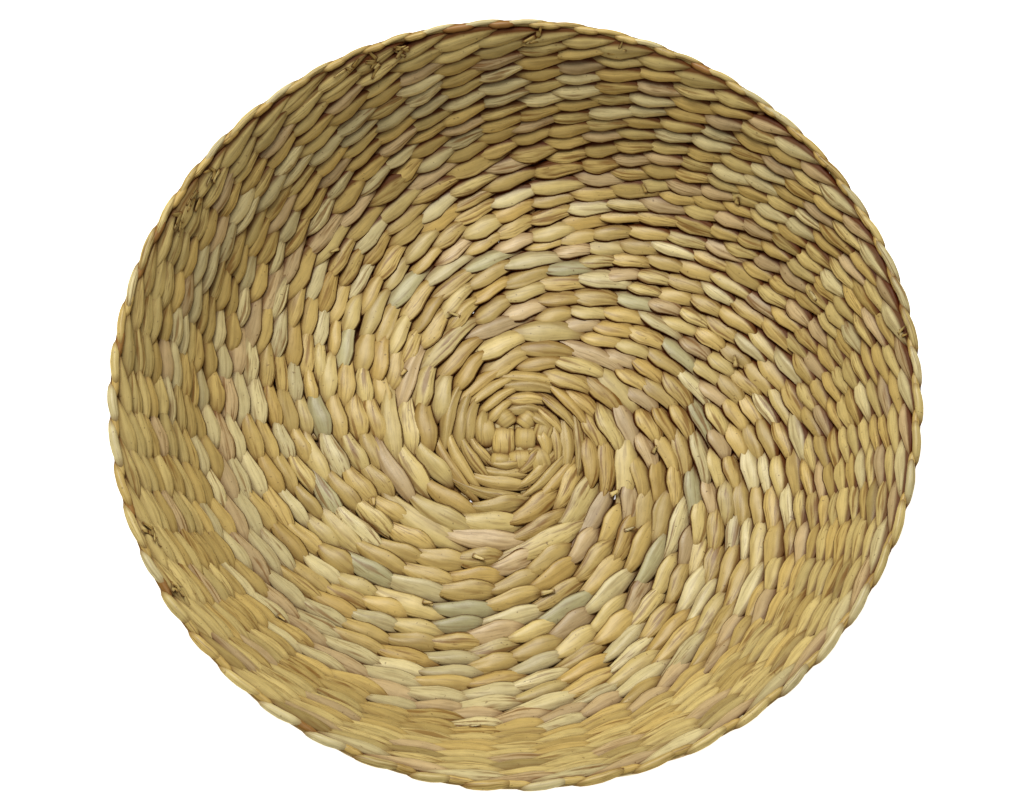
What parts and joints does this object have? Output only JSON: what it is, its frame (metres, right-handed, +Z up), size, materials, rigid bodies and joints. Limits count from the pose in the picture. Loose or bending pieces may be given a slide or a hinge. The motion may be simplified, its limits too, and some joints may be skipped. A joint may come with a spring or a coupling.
{
  "type": "winnowing basket",
  "caption": "Shallow round winnowing basket with a flat floor and a flaring wall, twined from dried leaf strands over radial stakes, with a wrapped border.",
  "frame": {"origin": "centre of the underside, on the plane that the basket stands on", "axes": "+Z up through the open mouth; +Y along the lengthwise base stakes"},
  "size_m": [0.45, 0.45, 0.095],
  "materials": {
    "weft_leaf": "dried leaf, satin",
    "stake_leaf": "dried leaf, matte",
    "pale_leaf": "dried leaf, satin",
    "brown_leaf": "dried leaf, satin"
  },
  "bodies": {
    "root": {"base_stake_long_1": "stake_leaf", "base_stake_long_2": "stake_leaf", "base_stake_long_3": "stake_leaf", "base_stake_long_4": "stake_leaf", "base_stake_cross_1": "stake_leaf", "base_stake_cross_2": "stake_leaf", "base_stake_cross_3": "stake_leaf", "added_stakes_first": "stake_leaf", "added_stakes_second": "stake_leaf", "added_stakes_third": "stake_leaf", "weft_round_01": "weft_leaf", "weft_round_02": "weft_leaf", "weft_round_03": "weft_leaf", "weft_round_04": "weft_leaf", "weft_round_05": "weft_leaf", "weft_round_06": "weft_leaf", "weft_round_07": "weft_leaf", "weft_round_08": "weft_leaf", "weft_round_09": "weft_leaf", "weft_round_10": "weft_leaf", "weft_round_11": "weft_leaf", "weft_round_12": "weft_leaf", "weft_round_13": "weft_leaf", "weft_round_14": "weft_leaf", "weft_round_15": "weft_leaf", "weft_round_16": "weft_leaf", "weft_round_17": "weft_leaf", "weft_round_18": "weft_leaf", "weft_round_19": "weft_leaf", "weft_round_20": "weft_leaf", "weft_round_21": "weft_leaf", "weft_round_22": "weft_leaf", "weft_round_23": "weft_leaf", "weft_round_24": "weft_leaf", "weft_round_25": "weft_leaf", "weft_round_26": "weft_leaf", "weft_round_27": "weft_leaf", "border_core": "stake_leaf", "border_turned_ends": "pale_leaf", "border_ties": "brown_leaf"}
  },
  "joints": []
}
